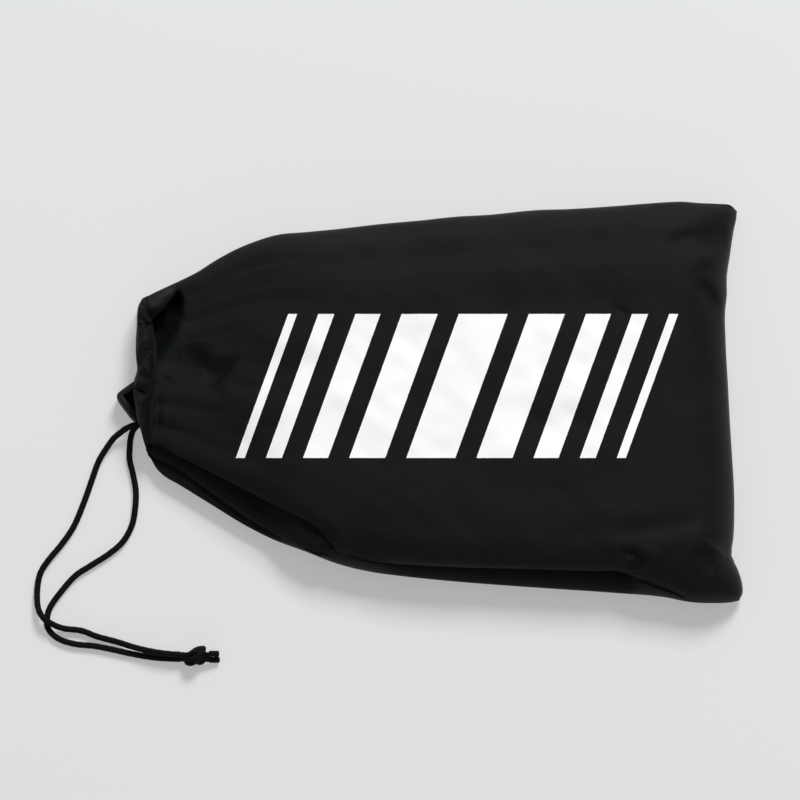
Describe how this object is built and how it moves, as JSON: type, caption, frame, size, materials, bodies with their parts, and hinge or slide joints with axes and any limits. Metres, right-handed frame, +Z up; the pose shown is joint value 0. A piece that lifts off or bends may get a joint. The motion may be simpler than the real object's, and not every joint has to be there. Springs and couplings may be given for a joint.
{
  "type": "speed parachute",
  "caption": "Speed parachute packed in a black cloth drawstring bag that lies flat, with its drawcord tied in a knot and its waist belt and folded canopy inside.",
  "frame": {"origin": "centre of the floor area under the bag, on the surface that it lies on, without the free cord", "axes": "+X from the mouth to the closed end, +Y to the far long edge, +Z up through the printed side"},
  "size_m": [0.3958, 0.2645, 0.036],
  "materials": {
    "black_cloth": "plain woven polyester, slight sheen",
    "black_cord": "round braided cord",
    "canopy_cloth": "ripstop polyester",
    "canopy_mesh": "open knit mesh",
    "elastic": "woven elastic",
    "lines": "thin braided line",
    "webbing": "woven polyester webbing",
    "black_plastic": "moulded acetal, fine texture",
    "steel": "plated wire"
  },
  "bodies": {
    "bag": {"bag_back_panel": "black_cloth", "bag_front_panel": "black_cloth", "back_hem_channel": "black_cloth", "channel_end_loop": "black_cloth", "drawcord_back_run": "black_cord", "drawcord_leg_a": "black_cord", "drawcord_leg_b": "black_cord", "drawcord_knot": "black_cord", "drawcord_tail_a": "black_cord", "drawcord_tail_b": "black_cord", "canopy_gore_1": "canopy_cloth", "canopy_gore_2": "canopy_cloth", "canopy_gore_3": "canopy_cloth", "canopy_gore_4": "canopy_cloth", "canopy_gore_5": "canopy_cloth", "canopy_gore_6": "canopy_cloth", "canopy_gore_7": "canopy_cloth", "canopy_gore_8": "canopy_cloth", "vent_mesh": "canopy_mesh", "canopy_band": "elastic", "line_hank": "lines", "hank_tie": "elastic", "line_ring": "steel", "tether_strap": "webbing", "belt_webbing": "webbing", "ring_tab": "webbing", "buckle_socket": "black_plastic", "socket_strap": "webbing"},
    "front_lip": {"bag_front_lip": "black_cloth", "front_hem_channel": "black_cloth", "drawcord_front_run": "black_cord"},
    "tongue": {"buckle_tongue": "black_plastic", "tongue_strap": "webbing"},
    "glide": {"tri_glide": "black_plastic"},
    "d_ring": {"belt_d_ring": "steel"}
  },
  "joints": [
    {"name": "mouth_opening", "type": "hinge", "parent": "bag", "child": "front_lip", "pos_m": [-0.09485, 0, 0.0319], "axis": [0, 1, 0], "range_deg": [0, 35]},
    {"name": "buckle_release", "type": "slide", "parent": "bag", "child": "tongue", "axis": [0, 1, 0], "range_m": [0, 0.022]},
    {"name": "belt_adjust", "type": "slide", "parent": "tongue", "child": "glide", "axis": [0, -1, 0], "range_m": [0, 0.012]},
    {"name": "d_ring_swing", "type": "hinge", "parent": "bag", "child": "d_ring", "pos_m": [-0.02285, -0.03679, 0.02003], "axis": [1, 0, 0], "range_deg": [0, 45]}
  ]
}
